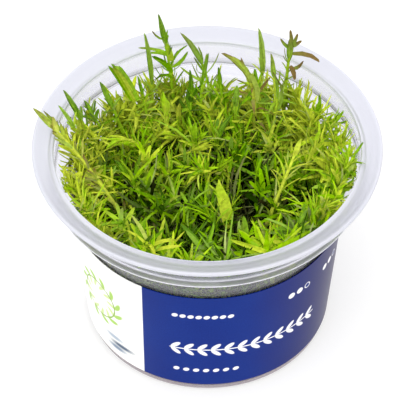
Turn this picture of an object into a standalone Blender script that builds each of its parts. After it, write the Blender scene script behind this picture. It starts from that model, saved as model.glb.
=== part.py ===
"""Rotala in a tissue-culture cup.

A thin translucent cup with a wide flat rim wears a printed paper sleeve and holds a bed of nutrient
gel. The stems are rooted in the gel. Low down, stems and leaves make one dense tangle from wall to
wall. Single sprigs stand out of it, each a stem with whorls of narrow leaves and a closed leaf bud.

Lengths are in millimetres and become metres where a mesh is made. The origin is on the floor, under
the middle of the cup. +Z is up and -Y faces the viewer.
"""

import math
import random
from collections import namedtuple

import bmesh
import bpy
from mathutils import Vector, noise

MM = 0.001
GAP = 0.3  # between pieces that touch

# The cup, turned about Z
TURN_STEPS = 36
SKIN = 0.9  # thickness of the moulded wall
BASE_RADIUS = 34.9
WALL_FOOT = 1.2  # height where the rounded foot becomes the wall
FOOT_RADIUS = 35.3  # of the wall there
LEDGE_HEIGHT = 55.2  # underside of the ledge that carries the collar
WALL_TOP_RADIUS = 39.95
COLLAR_RADIUS = 45.0
BEAD = 0.4  # how far the ledge's rounded edge stands out
BEAD_HEIGHT = 1.0
RIM_HEIGHT = 65.9
RIM_RADIUS = 50.0
RIM_SKIN = 1.1
RIM_INNER_RADIUS = 43.9
RIM_INNER_HEIGHT = 64.9
BEVEL = 0.3  # on the cup's edges
FLOOR_CORNER = 1.0  # on the corner between floor and wall inside

# The sleeve label
LABEL_LOW = 2.4
LABEL_HIGH = 44.2
LABEL_THICK = 0.25

# What fills the cup
GEL_TOP = 9.0
TANGLE_EDGE = 43.0  # height of the tangle where it meets the wall
TANGLE_MIDDLE = 46.5
TANGLE_CELLS = 14  # cells across the tangle's top
LUMP = 2.2  # height of the lumps in it
LUMP_WIDTH = 7.7
CELL_SHIFT = 0.7  # how far a cell's corner moves off its regular place
TUFT_HEIGHT = (4.8, 10.4)  # least and most
TUFT_BACK_RISE = 6.5  # how much higher the tufts stand at the back
TUFT_LEAN = 2.0
TUFT_WIDTH = 2.2
TUFT_THICK = 0.7
TUFT_WAIST = 0.45  # share of a tuft's height where its blade is widest
WELL_DEPTH = 5.0
WELL_WIDTH = 2.5

# A sprig
STEM_RADIUS = 0.62
STEM_TIP_RADIUS = 0.42
STEM_SIDES = 4
SIDE_HINT = Vector((0.39, 0.92, 0.1))  # a direction that no stem runs in
FIRST_WHORL = 3.0  # height of the lowest whorl over the stem's foot
NODE_LENGTH = 0.9  # of the swollen ring that a whorl of leaves grows from
WHORL_TURN = math.radians(38)  # from one whorl to the next
BUD_TURN = math.radians(20)
BUD_BELLY = 0.35  # share of a bud's length where it is widest
BUD_SHOULDER = 0.7  # share of its width left half-way from there to its tip
LEAF_WIDTH = 1.5
LEAF_THICK = 0.45
LEAF_BELLY = 0.45  # share of a leaf's length where it is widest
LEAF_ARCH = 0.05  # share of a leaf's length that it bows up there
LEAF_RISE = (math.radians(33), math.radians(56))  # of a leaf above square to its stem
LEAF_SPREAD = (0.85, 1.15)  # least and most share of a sprig's leaf length
LEAF_START = 0.8  # where a leaf is clear of its own stem
LEAF_ROOM = 0.6  # half the room that a leaf takes up
ROOM_SIZES = (1.0, 0.7, 0.5)  # shares of the length that are tried where room is short
SAMPLE = 1.0  # spacing of the points that keep sprigs apart
LINE_STEPS = 30

Sprig = namedtuple("Sprig", "name foot knee tip whorls leaf bud girth")

# Where each sprig of the photograph leaves the tangle (x, y), how it bends, and where its tip stands.
# Then its number of whorls, the lengths of its leaves and its closed bud, and the bud's width.
SPRIGS = (
    Sprig("sprig_tall", (-9.5, 33.5), (-9.8, 33.8, 68), (-13.6, 31, 87.5), 5, 8, 14, 2.1),
    Sprig("sprig_long_bud", (-16, 31.5), (-16, 32.5, 68), (-18, 27.5, 83.5), 2, 7, 22, 2.4),
    Sprig("sprig_thick_bud", (-20, 26), (-21, 27, 64), (-27, 22.5, 76), 3, 7, 17, 3.6),
    Sprig("sprig_arched", (2, 31.5), (3, 30.5, 74), (-7.2, 27.2, 84), 3, 8, 18, 3.1),
    Sprig("sprig_drooping", (13.5, 23), (16, 22, 78), (4.5, 22.3, 80), 3, 7, 22, 3.4),
    Sprig("sprig_upright", (13.5, 32.5), (18, 31, 66), (14.8, 28.9, 84), 3, 8, 18, 2.9),
    Sprig("sprig_brown_top", (22, 28.5), (23, 29.5, 66), (24.3, 27, 85), 5, 7, 11, 2.6),
    Sprig("sprig_behind_right", (22, 19.5), (23, 20, 62), (20.7, 23, 71), 1, 7, 12, 2),
    Sprig("sprig_far_left", (-23, -12), (-41, -5, 65), (-49.4, 6.5, 74), 6, 7, 9, 2.6),
    Sprig("sprig_left_low", (-31, 2), (-38, 5, 60), (-46.6, 8.5, 71), 2, 6, 8, 2),
    Sprig("sprig_left_pair", (-31.5, 8), (-35, 9, 60), (-42.5, 11.3, 70.5), 1, 6, 9, 2.1),
    Sprig("sprig_left_high", (-31.5, 14), (-34, 15, 58), (-41.2, 16, 72), 2, 6, 9, 2.7),
    Sprig("sprig_left_back", (-27, 19.5), (-32, 19, 57), (-35.5, 18, 66), 2, 6, 8, 2),
    Sprig("sprig_left_bud", (-22.5, 21), (-27, 23, 58), (-31, 22.5, 69), 1, 6, 11, 2.9),
    Sprig("sprig_middle", (-4, 13), (-4, 14, 54), (-3.3, 12.8, 62), 2, 7, 7, 3),
    Sprig("sprig_middle_right", (2.5, 14), (2, 15, 56), (7.1, 12, 66), 1, 7, 10, 2.7),
    Sprig("sprig_right_high", (29.5, 13.5), (35, 14.5, 57), (39.3, 12.8, 67), 3, 6, 7, 1.3),
    Sprig("sprig_right_back", (28.5, 19.5), (30.5, 21, 56), (32.9, 18.6, 66), 3, 6, 7, 1.3),
    Sprig("sprig_far_right", (29, -7.5), (38, -5, 58), (44.2, -2.5, 69.5), 4, 7, 6, 1.4),
    Sprig("sprig_yellow", (15, -14), (22, -9, 61), (26.6, -1.7, 70), 6, 7, 6, 1.8),
    Sprig("sprig_right", (27, 4), (29, 4, 58), (32.2, 4.7, 67), 3, 7, 7, 1.6),
    Sprig("sprig_front", (7, -16), (4, -16, 56), (3.3, -11, 63), 3, 7, 6, 2.2),
    Sprig("sprig_curled", (-15, 15), (-22, 9, 66), (-29, 4.5, 60), 3, 6, 6, 1.8),
    Sprig("sprig_front_left", (-15, -23), (-19, -26, 55), (-25, -23, 59), 3, 6, 6, 1.5),
    Sprig("sprig_front_middle", (-2, -27), (-3, -29, 54), (2, -31, 59), 3, 6, 6, 1.5),
    Sprig("sprig_front_right", (20, -25), (24, -25, 55), (28, -21, 61), 3, 6, 6, 1.6),
    Sprig("sprig_slim_left", (-16, 24), (-18.5, 26.5, 58), (-20.1, 26, 68), 0, 5, 9, 1.5),
    Sprig("sprig_round", (-11.5, 19), (-11.5, 20, 56), (-12.8, 20, 67.5), 0, 5, 10, 3.2),
    Sprig("sprig_slim_middle", (-6, 25), (-4, 24, 62), (-5, 24, 72.4), 0, 5, 10, 1.7),
    Sprig("sprig_leaning", (-1.5, 24), (-3, 26, 62), (0.5, 25, 76.5), 1, 5, 13, 1.9),
    Sprig("sprig_slim_back", (6, 28), (4, 27, 60), (3.3, 26, 71.5), 0, 5, 9, 1.8),
    Sprig("sprig_green_bud", (9, 23), (7.5, 21, 60), (8.6, 20, 70), 0, 5, 11, 2.5),
    Sprig("sprig_short_back", (17, 28), (14.5, 26.5, 62), (13.8, 27, 70), 0, 5, 8, 1.8),
    Sprig("sprig_curly", (19.5, 24), (20.5, 25, 62), (18.4, 26, 76.9), 2, 5, 10, 2.3),
)

# Those whose leaves have turned brown
BROWNED = ("sprig_drooping", "sprig_brown_top", "sprig_behind_right")


def clear_scene():
    for item in list(bpy.data.objects):
        bpy.data.objects.remove(item, do_unlink=True)


def new_collection(name):
    collection = bpy.data.collections.new(name)
    bpy.context.scene.collection.children.link(collection)
    return collection


def new_material(name, colour, roughness):
    material = bpy.data.materials.new(name)
    material.use_nodes = True
    surface = material.node_tree.nodes["Principled BSDF"]
    surface.inputs["Base Color"].default_value = (*colour, 1.0)
    surface.inputs["Roughness"].default_value = roughness
    return material


def new_object(name, mesh, collection, material):
    thing = bpy.data.objects.new(name, mesh)
    mesh.materials.append(material)
    collection.objects.link(thing)
    return thing


def mesh_from(name, bm):
    """A mesh in metres from a bmesh in millimetres."""
    bmesh.ops.recalc_face_normals(bm, faces=bm.faces[:])
    bmesh.ops.scale(bm, vec=Vector((MM, MM, MM)), verts=bm.verts[:])
    mesh = bpy.data.meshes.new(name)
    bm.to_mesh(mesh)
    bm.free()
    return mesh


def turned(name, profile, closed, collection, material):
    """A round piece from its profile of (radius, height), down the outside and back up the inside."""
    bm = bmesh.new()
    points = [bm.verts.new((radius, 0.0, height)) for radius, height in profile]
    for upper, lower in zip(points, points[1:]):
        bm.edges.new((upper, lower))
    if closed:
        bm.edges.new((points[-1], points[0]))
    bmesh.ops.scale(bm, vec=Vector((MM, MM, MM)), verts=bm.verts[:])
    mesh = bpy.data.meshes.new(name)
    bm.to_mesh(mesh)
    bm.free()
    thing = new_object(name, mesh, collection, material)
    screw = thing.modifiers.new("Turn", "SCREW")
    screw.steps = TURN_STEPS
    screw.render_steps = TURN_STEPS
    screw.use_merge_vertices = True
    screw.merge_threshold = 0.00005
    screw.use_smooth_shade = True
    return thing


def wall_radius(height):
    """Outer radius of the tapering wall at a height."""
    share = (height - WALL_FOOT) / (LEDGE_HEIGHT - WALL_FOOT)
    return FOOT_RADIUS + (WALL_TOP_RADIUS - FOOT_RADIUS) * share


def room_radius(height):
    """Radius of the free space inside the cup at a height."""
    if height < LEDGE_HEIGHT + SKIN:
        return wall_radius(height) - SKIN
    return RIM_INNER_RADIUS - BEVEL


def make_cup(collection, material):
    inside = room_radius(LEDGE_HEIGHT)
    ledge_top = LEDGE_HEIGHT + SKIN
    corner_top = SKIN + FLOOR_CORNER
    rim_below = RIM_INNER_HEIGHT - RIM_SKIN
    profile = (
        (0.0, SKIN),
        (FOOT_RADIUS - SKIN - FLOOR_CORNER, SKIN),
        (room_radius(corner_top), corner_top),
        (inside, ledge_top - BEVEL),
        (inside + BEVEL, ledge_top),
        (RIM_INNER_RADIUS - 2 * BEVEL, ledge_top),
        (RIM_INNER_RADIUS - BEVEL, ledge_top + BEVEL),
        (RIM_INNER_RADIUS, RIM_INNER_HEIGHT),
        (RIM_RADIUS - BEVEL, RIM_HEIGHT),
        (RIM_RADIUS, RIM_HEIGHT - BEVEL),
        (RIM_RADIUS, RIM_HEIGHT - RIM_SKIN),
        (COLLAR_RADIUS, rim_below),
        (COLLAR_RADIUS, LEDGE_HEIGHT + BEAD_HEIGHT),
        (COLLAR_RADIUS + BEAD, LEDGE_HEIGHT + BEAD_HEIGHT - BEAD),
        (COLLAR_RADIUS + BEAD, LEDGE_HEIGHT + BEAD),
        (COLLAR_RADIUS, LEDGE_HEIGHT),
        (WALL_TOP_RADIUS, LEDGE_HEIGHT),
        (FOOT_RADIUS, WALL_FOOT),
        (BASE_RADIUS, BEVEL),
        (BASE_RADIUS - 2 * BEVEL, 0.0),
        (0.0, 0.0),
    )
    return turned("cup", profile, False, collection, material)


def make_label(collection, material):
    high = wall_radius(LABEL_HIGH) + GAP
    low = wall_radius(LABEL_LOW) + GAP
    profile = (
        (high + LABEL_THICK, LABEL_HIGH),
        (low + LABEL_THICK, LABEL_LOW),
        (low, LABEL_LOW),
        (high, LABEL_HIGH),
    )
    return turned("label", profile, True, collection, material)


def make_gel(collection, material):
    floor = SKIN + GAP
    corner_top = floor + FLOOR_CORNER
    profile = (
        (0.0, GEL_TOP),
        (room_radius(GEL_TOP) - GAP, GEL_TOP),
        (room_radius(corner_top) - GAP, corner_top),
        (FOOT_RADIUS - SKIN - FLOOR_CORNER - GAP, floor),
        (0.0, floor),
    )
    return turned("gel", profile, False, collection, material)


class Room:
    """Points along every stem and leaf placed so far, each with its owner and its half thickness."""

    def __init__(self):
        self.places = []

    def add(self, owner, points, half):
        self.places += [(owner, point, half) for point in points]

    def is_free(self, owner, points, half):
        for point in points:
            for other, place, other_half in self.places:
                near = half + other_half + GAP
                if other != owner and (point - place).length < near:
                    return False
        return all(in_cup(point, half) for point in points)


def in_cup(point, half):
    """True if a leaf of this half thickness is clear of the cup and inside the rim's square there."""
    radius = math.hypot(point.x, point.y)
    if point.z < RIM_HEIGHT + half + GAP:
        return radius < room_radius(point.z) - half - GAP
    return max(abs(point.x), abs(point.y)) < RIM_RADIUS - half


def steps_between(start, end):
    """Points from start to end, about SAMPLE apart."""
    count = max(2, math.ceil((end - start).length / SAMPLE))
    return [start.lerp(end, k / count) for k in range(count + 1)]


class Stem:
    """The bent line of a sprig: up out of its well, then along a curve to its tip."""

    def __init__(self, sprig, foot):
        self.foot = foot
        self.knee = Vector(sprig.knee)
        self.tip = Vector(sprig.tip)

    def point(self, share):
        first = self.foot.lerp(self.knee, share)
        return first.lerp(self.knee.lerp(self.tip, share), share)

    def direction(self, share):
        return ((self.knee - self.foot).lerp(self.tip - self.knee, share)).normalized()

    def line(self):
        return [self.point(k / LINE_STEPS) for k in range(LINE_STEPS + 1)]

    def length(self):
        points = self.line()
        return sum((b - a).length for a, b in zip(points, points[1:]))

    def section(self, share, radius, turn):
        """The corners of the stem's section there."""
        along = self.direction(share)
        side = along.cross(SIDE_HINT).normalized()
        other = along.cross(side)
        middle = self.point(share)
        corners = []
        for k in range(STEM_SIDES):
            angle = turn + k * math.tau / STEM_SIDES
            corners.append(middle + radius * (math.cos(angle) * side + math.sin(angle) * other))
        return corners


def place_corners(face, corners):
    for loop, corner in zip(face.loops, corners):
        loop.vert.co = corner


def grow(bm, face, corners):
    """Extrude one face and put its corners in place. Gives the new end face and the four side faces."""
    end = bmesh.ops.extrude_discrete_faces(bm, faces=[face])["faces"][0]
    place_corners(end, corners)
    sides = []
    for edge in end.edges:
        sides += [other for other in edge.link_faces if other is not end]
    return end, sides


def grow_to_point(bm, face, tip):
    """Extrude one face and draw its corners together in a point."""
    end = bmesh.ops.extrude_discrete_faces(bm, faces=[face])["faces"][0]
    bmesh.ops.pointmerge(bm, verts=end.verts[:], merge_co=tip)


def leaf_axis(root, along, rise):
    """Outward direction of a leaf that grows from a side face of a stem."""
    out = root.normal - along * root.normal.dot(along)
    return (out.normalized() * math.cos(rise) + along * math.sin(rise)).normalized()


def grow_leaf(bm, root, along, length, rise):
    """Draw one side face of a stem out into a narrow leaf that is widest below its middle."""
    start = root.calc_center_median()
    axis = leaf_axis(root, along, rise)
    across = axis.cross(along).normalized()
    upper = across.cross(axis).normalized()
    if upper.dot(along) < 0.0:
        upper.negate()
    blade = bmesh.ops.extrude_discrete_faces(bm, faces=[root])["faces"][0]
    middle = start + axis * (LEAF_BELLY * length) + upper * (LEAF_ARCH * length)
    for vert in blade.verts:
        offset = vert.co - start
        sideways = math.copysign(0.5 * LEAF_WIDTH, offset.dot(across))
        upwards = math.copysign(0.5 * LEAF_THICK, offset.dot(along))
        vert.co = middle + across * sideways + upper * upwards
    grow_to_point(bm, blade, start + axis * length)


def leaf_points(start, axis, length):
    return steps_between(start + axis * LEAF_START, start + axis * length)


def start_stem(corners_low, corners_high):
    """A four-sided prism between two sections, and its upper end face."""
    bm = bmesh.new()
    bmesh.ops.create_cone(
        bm, cap_ends=True, segments=STEM_SIDES, radius1=1.0, radius2=1.0, depth=1.0
    )
    bm.faces.ensure_lookup_table()
    top = max(bm.faces, key=lambda face: face.calc_center_median().z)
    for loop, low, high in zip(top.loops, corners_low, corners_high):
        lower = min((edge.other_vert(loop.vert) for edge in loop.vert.link_edges), key=lambda v: v.co.z)
        lower.co = low
        loop.vert.co = high
    return bm, top


def make_sprig(sprig, stem, room, collection, material):
    """One sprig: a four-sided stem whose rings are drawn out into whorls of leaves, then the bud."""
    draw = random.Random(sprig.name)
    whole = stem.length()
    turn = draw.uniform(0.0, math.pi / 2)
    well_floor = stem.foot - Vector((0.0, 0.0, WELL_DEPTH - 2 * GAP))
    root = [corner - stem.foot + well_floor for corner in stem.section(0.0, STEM_RADIUS, turn)]
    bm, end = start_stem(root, stem.section(0.0, STEM_RADIUS, turn))
    first = FIRST_WHORL / whole
    last = 1.0 - sprig.bud / whole
    for k in range(sprig.whorls):
        share = first + (last - first) * k / sprig.whorls
        thick = STEM_RADIUS + (STEM_TIP_RADIUS - STEM_RADIUS) * share
        turn += WHORL_TURN
        end, sides = grow(bm, end, stem.section(share, thick, turn))
        end, sides = grow(bm, end, stem.section(share + NODE_LENGTH / whole, thick, turn))
        bm.normal_update()
        grow_whorl(bm, sides, sprig, stem.direction(share), room, draw)
    turn += BUD_TURN
    belly = last + BUD_BELLY * (1.0 - last)
    end, sides = grow(bm, end, stem.section(last, STEM_TIP_RADIUS, turn))
    end, sides = grow(bm, end, stem.section(belly, 0.5 * sprig.girth, turn))
    shoulder = 0.5 + 0.5 * belly
    end, sides = grow(bm, end, stem.section(shoulder, 0.5 * BUD_SHOULDER * sprig.girth, turn))
    grow_to_point(bm, end, stem.tip)
    return new_object(sprig.name, mesh_from(sprig.name, bm), collection, material)


def grow_whorl(bm, sides, sprig, along, room, draw):
    """A leaf on each side face of a stem's ring, as long as the leaves and stems round it allow."""
    for side in sides:
        rise = draw.uniform(*LEAF_RISE)
        length = sprig.leaf * draw.uniform(*LEAF_SPREAD)
        start = side.calc_center_median()
        axis = leaf_axis(side, along, rise)
        for size in ROOM_SIZES:
            points = leaf_points(start, axis, size * length)
            if room.is_free(sprig.name, points, LEAF_ROOM):
                room.add(sprig.name, points, LEAF_ROOM)
                grow_leaf(bm, side, along, size * length, rise)
                break


def tangle_height(x, y):
    """Height of the tangle's lumpy top."""
    share = math.hypot(x, y) / room_radius(TANGLE_EDGE)
    dome = TANGLE_MIDDLE + (TANGLE_EDGE - TANGLE_MIDDLE) * share**2
    return dome + LUMP * noise.noise(Vector((x, y, 0.5 * LUMP_WIDTH)) / LUMP_WIDTH)


def start_tangle():
    """The tangle without its tufts and wells, with the faces of its top."""
    bm = bmesh.new()
    bmesh.ops.create_grid(bm, x_segments=TANGLE_CELLS, y_segments=TANGLE_CELLS, size=1.0)
    reach = room_radius(TANGLE_EDGE - 2 * LUMP) - 2 * GAP
    draw = random.Random("cells")
    for vert in bm.verts:
        x, y, _ = vert.co
        vert.co.x = reach * x * math.sqrt(1.0 - 0.5 * y * y)
        vert.co.y = reach * y * math.sqrt(1.0 - 0.5 * x * x)
        if not vert.is_boundary:
            vert.co.x += draw.uniform(-CELL_SHIFT, CELL_SHIFT)
            vert.co.y += draw.uniform(-CELL_SHIFT, CELL_SHIFT)
        vert.co.z = tangle_height(vert.co.x, vert.co.y)
    top = bm.faces[:]
    border = [edge for edge in bm.edges if edge.is_boundary]
    skirt = bmesh.ops.extrude_edge_only(bm, edges=border)["geom"]
    low = GEL_TOP + GAP
    shrink = (room_radius(low) - 2 * GAP) / reach
    lower = [item for item in skirt if isinstance(item, bmesh.types.BMVert)]
    for vert in lower:
        vert.co.x *= shrink
        vert.co.y *= shrink
        vert.co.z = low
    rim = [item for item in skirt if isinstance(item, bmesh.types.BMEdge)]
    bmesh.ops.edgeloop_fill(bm, edges=rim)
    bmesh.ops.recalc_face_normals(bm, faces=bm.faces[:])
    return bm, top


def oblong(middle, long_side, short_side, angle):
    """The corners of a level oblong round a point."""
    along = Vector((math.cos(angle), math.sin(angle), 0.0)) * 0.5 * long_side
    across = Vector((-math.sin(angle), math.cos(angle), 0.0)) * 0.5 * short_side
    return [middle - along - across, middle + along - across, middle + along + across, middle - along + across]


def in_loop_order(face, corners):
    """The corners shifted round until they lie nearest to the face's own, so that no side twists."""
    places = [loop.vert.co.xy for loop in face.loops]

    def twist(shift):
        return sum((corners[(k + shift) % 4].xy - place).length for k, place in enumerate(places))

    best = min(range(4), key=twist)
    return [corners[(k + best) % 4] for k in range(4)]


def nearest_cell(free, spot):
    """Number of the free cell nearest to a spot, among those far enough from the wall for a well."""
    fitting = []
    for number, face in free.items():
        middle = face.calc_center_median()
        corner = middle.xy.length + WELL_WIDTH / math.sqrt(2.0)
        if corner < room_radius(middle.z - WELL_DEPTH) - 2 * GAP:
            fitting.append(number)
    return min(fitting, key=lambda number: (free[number].calc_center_median().xy - spot).length)


def sink_well(bm, face):
    """Sink a square well for a stem into one face of the tangle. Gives the middle of its mouth."""
    middle = face.calc_center_median()
    mouth = in_loop_order(face, oblong(middle, WELL_WIDTH, WELL_WIDTH, 0.0))
    end, sides = grow(bm, face, mouth)
    grow(bm, end, [corner - Vector((0.0, 0.0, WELL_DEPTH)) for corner in mouth])
    return middle


def raise_tuft(bm, face, draw, room):
    """Draw one face of the tangle up into a leaf blade, where the sprigs leave room for it."""
    middle = face.calc_center_median()
    rear = max(0.0, middle.y / room_radius(TANGLE_EDGE))
    height = draw.uniform(*TUFT_HEIGHT) + TUFT_BACK_RISE * rear
    lean = Vector((draw.uniform(-TUFT_LEAN, TUFT_LEAN), draw.uniform(-TUFT_LEAN, TUFT_LEAN), height))
    turn = draw.uniform(0.0, math.pi)
    for size in ROOM_SIZES:
        tip = middle + size * lean
        points = steps_between(middle + lean.normalized() * LEAF_START, tip)
        if room.is_free("tangle", points, 0.5 * TUFT_WIDTH):
            blade = oblong(middle.lerp(tip, TUFT_WAIST), TUFT_WIDTH, TUFT_THICK, turn)
            end, sides = grow(bm, face, in_loop_order(face, blade))
            grow_to_point(bm, end, tip)
            return


def make_tangle(bm, cells, room, collection, material):
    """The tangle: each cell of its top without a well is drawn up into a blade."""
    draw = random.Random("tangle")
    for face in cells:
        raise_tuft(bm, face, draw, room)
    return new_object("tangle", mesh_from("tangle", bm), collection, material)


def main():
    clear_scene()
    parts = new_collection("rotala_cup")
    plastic = new_material("frosted polypropylene", (0.80, 0.81, 0.86), 0.35)
    paper = new_material("printed paper", (0.03, 0.05, 0.26), 0.5)
    jelly = new_material("nutrient gel", (0.75, 0.72, 0.60), 0.15)
    leaves = new_material("tangled leaves", (0.10, 0.22, 0.01), 0.5)
    green = new_material("rotala sprig", (0.22, 0.40, 0.02), 0.45)
    browned = new_material("browned rotala sprig", (0.26, 0.20, 0.04), 0.5)

    make_cup(parts, plastic)
    make_label(parts, paper)
    make_gel(parts, jelly)

    bm, top = start_tangle()
    free = dict(enumerate(top))
    stems = []
    room = Room()
    for sprig in SPRIGS:
        cell = free.pop(nearest_cell(free, Vector(sprig.foot)))
        stem = Stem(sprig, sink_well(bm, cell))
        stems.append(stem)
        room.add(sprig.name, stem.line(), 0.5 * sprig.girth)
    for sprig, stem in zip(SPRIGS, stems):
        make_sprig(sprig, stem, room, parts, browned if sprig.name in BROWNED else green)
    make_tangle(bm, list(free.values()), room, parts, leaves)


main()
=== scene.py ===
"""Rotala in a tissue-culture cup: the finish of every piece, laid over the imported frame.

The cup, label and gel are turned shells. The plant is grown in code: stems with whorls of narrow
leaves, each leaf a thin closed blade folded along its midrib. Lengths here are in millimetres and
become metres where a mesh is made, in the frame's own axes.
"""

import math
import random
from collections import namedtuple

import bpy
import numpy as np
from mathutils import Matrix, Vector, noise


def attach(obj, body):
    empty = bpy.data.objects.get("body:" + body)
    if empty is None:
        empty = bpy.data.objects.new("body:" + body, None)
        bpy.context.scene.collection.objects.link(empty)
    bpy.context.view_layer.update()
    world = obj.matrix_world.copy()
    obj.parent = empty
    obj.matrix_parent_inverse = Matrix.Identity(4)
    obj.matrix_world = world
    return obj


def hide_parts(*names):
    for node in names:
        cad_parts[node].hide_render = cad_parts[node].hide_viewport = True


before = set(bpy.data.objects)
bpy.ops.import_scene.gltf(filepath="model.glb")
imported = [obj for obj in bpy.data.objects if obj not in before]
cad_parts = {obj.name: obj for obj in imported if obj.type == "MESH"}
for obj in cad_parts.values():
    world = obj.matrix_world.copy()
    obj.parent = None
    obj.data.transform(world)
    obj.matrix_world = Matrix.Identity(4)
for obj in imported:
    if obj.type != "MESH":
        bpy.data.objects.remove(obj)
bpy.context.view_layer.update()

MM = 0.001

# The photograph's view, fitted to the rim, collar and label ellipses. Its distance and target are
# in metres.
VIEW_ELEVATION = math.radians(46.33)
VIEW_DISTANCE = 0.882
VIEW_TARGET = Vector((0.0002, 0.0, 0.03987))
LENS = 262.3
SENSOR = 36.0
SWEEP_HALF = 3000.0  # half the side of the floor

# The cup, as in the frame
SKIN = 0.9
WALL_FOOT = 1.2
FOOT_RADIUS = 35.3
FLOOR_CORNER = 1.6
LEDGE_HEIGHT = 55.2
LEDGE_TOP = LEDGE_HEIGHT + SKIN
LEDGE_CORNER = 0.6
WALL_TOP_RADIUS = 39.95
WALL_LEVELS = (6.0, 16.0, 26.0, 36.0, 46.0, 53.0)
COLLAR_RADIUS = 45.0
RIM_HEIGHT = 65.9
RIM_RADIUS = 50.0
RIM_SKIN = 1.1
RIM_INNER_RADIUS = 43.9
RIM_INNER_HEIGHT = 64.9
TURN_STEPS = 240

# How milky its plastic is, from 0 for clear to 1 for white, and the heights where that changes
WALL_MILK = 0.08
COLLAR_MILK = 0.16
RIM_MILK = 0.2
RIM_STREAKS = 0.4
# the edge and bead amounts are painted highlights: extra milk where the rounded edges and the bead catch
# the light
EDGE_HIGHLIGHT_MILK = 0.38
BEAD_HIGHLIGHT_MILK = 0.5
COLLAR_CLEAR = 58.0  # from here up to the rim the collar is clearer
RIM_MILKY = (63.2, 64.4)  # the rim grows milky between these

LABEL_LOW = 3.2
LABEL_HIGH = 44.2
LABEL_GAP = 0.3
LABEL_THICK = 0.25
LABEL_STEPS = 8

# Its print, in millimetres round the cup from the middle of the front, and up from the floor
BLUE_START = -19.4
PRINT_EDGE = 0.2
# where the blue darkens to purple towards the right, as painted shade
SHADE_PURPLE_FROM = 12.0
SHADE_PURPLE_TO = 48.0
WREATH_CENTRE = (-37.0, 25.0)
WREATH_RADIUS = 7.3
WREATH_LEAVES = 12
WREATH_LEAF = (1.9, 0.75)  # half its length and width, as for the other printed marks
WREATH_STALK = (2.4, 0.3)
WREATH_SPREAD = 1.5  # its leaves stand this far in and out from the stalk
RIPPLE_HALF = 0.9
RIPPLES = (
    ((-30.5, 11.4), 3.4, "#a9b6c6"),
    ((-27.5, 9.0), 4.2, "#4f6179"),
    ((-29.5, 6.9), 3.4, "#7c8ca3"),
)
GARLAND_START = -11.0
GARLAND_HEIGHT = 20.0
GARLAND_PITCH = 3.9
GARLAND_LEAVES = 12
GARLAND_LEAF = (1.8, 0.75)
GARLAND_SPREAD = 1.4
GARLAND_STALK = 0.22
# rows of small lozenges: start, height, pitch, count
LOZENGE_ROWS = ((-10.5, 35.5, 2.3, 8), (-10.5, 10.0, 2.9, 7))
LOZENGE = (0.95, 0.75)
# two rows of three dots, the last one open
DOT_ROWS = (26.0, 41.0)
DOT_HEIGHT = 35.5
DOT_PITCH = 3.1
DOTS = 3
DOT_RADIUS = 1.15
DOT_HOLE = 0.85

GEL_TOP = 9.0
GEL_GAP = 0.3

# The tangle, the dense lower mass of the plant
TANGLE_SHOOTS = 380
TANGLE_PARTS = ("front_right", "back_right", "back_left", "front_left")  # the quarters, in turn
TANGLE_RADIUS = 37.6
OVER_LEDGE_RADIUS = 42.3
TANGLE_EDGE = 43.0
TANGLE_MIDDLE = 46.5
LUMP = 2.2  # how far its top rises and falls
GOLDEN_ANGLE = math.radians(137.508)
CROWDING = 0.42  # under 0.5 it sets more shoots near the wall than an even spread has
OUTER_SHARE = 0.84  # past this share of the radius most shoots lean outward
LEAF_LENGTHS = (7.0, 12.5)
BUD_LENGTHS = (4.0, 8.0)
BUD_GIRTHS = (1.3, 2.4)
# where long stems lie across the mass, it is lower: two ends in plan
CLEARINGS = (((-20.0, -17.0), (-28.0, -13.0)), ((15.0, -18.0), (23.0, -10.0)))
CLEARING_WIDTH = 5.0
CLEARING_DEPTH = 2.5
UNDERGROWTH_TOP = 36.0  # of the shaded body under the open leaves
UNDERGROWTH_RINGS = 24
UNDERGROWTH_LUMP = 2.6
SHADE_HEIGHT = 50.0  # leaves below this are painted darker: painted shade deep in the mass, and partly older leaves

# A blade: shares of its length, and the share of its full width there, for open leaves with their
# blunt tips and for the tapering young leaves of a closed bud
LEAF_STATIONS = np.array((0.0, 0.09, 0.32, 0.62, 0.9, 1.0))
BLUNT_SHAPE = np.array((0.35, 0.72, 1.0, 0.96, 0.7, 0.0))
BUD_SHAPE = np.array((0.5, 0.82, 1.0, 0.82, 0.36, 0.0))
LEAF_THICK = 0.16
BROWN_TIP = 1.5  # how fast a brown leaf darkens towards its tip
BUD_LEAVES = 7
BUD_LEAF_WIDTH = 2.3  # at most
BUD_TURN = 2.4  # from one leaf of a bud to the next, in radians
BLUNT_BUD = "thick_bud"  # its leaves have blunt tips
STEM_SIDES = 6
STEM_JOINTS = 12
STEM_TAPER = 0.4
FIRST_WHORL = 1.0  # up from the stem's foot
YOUNG_LENGTH = 6.0  # over this much below the bud, whorls are smaller, steeper and closer
CURVE_STEPS = 16
SKEW = (0.31, 0.95, 0.05)  # a direction that no stem grows in
PRESSED = 1.8  # leaves within this of the cup's wall bend along it
TOWARDS_VIEWER = Vector((0.0, -0.7, 0.7))  # the upper sides of single leaves face this way
SPRIG_FOOT = 4.0  # under the top of the mass
SPRIG_SPACING = 3.8  # between the whorls of a sprig
TANGLE_FEET = (10.0, 14.0)  # how deep under its top the tangle's shoots start
TANGLE_SPACING = 3.0
TANGLE_FULL = 5  # leaves in a whorl, more or less

Shoot = namedtuple("Shoot", "name foot knee tip leaf bud girth tone brown pale full")

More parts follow.
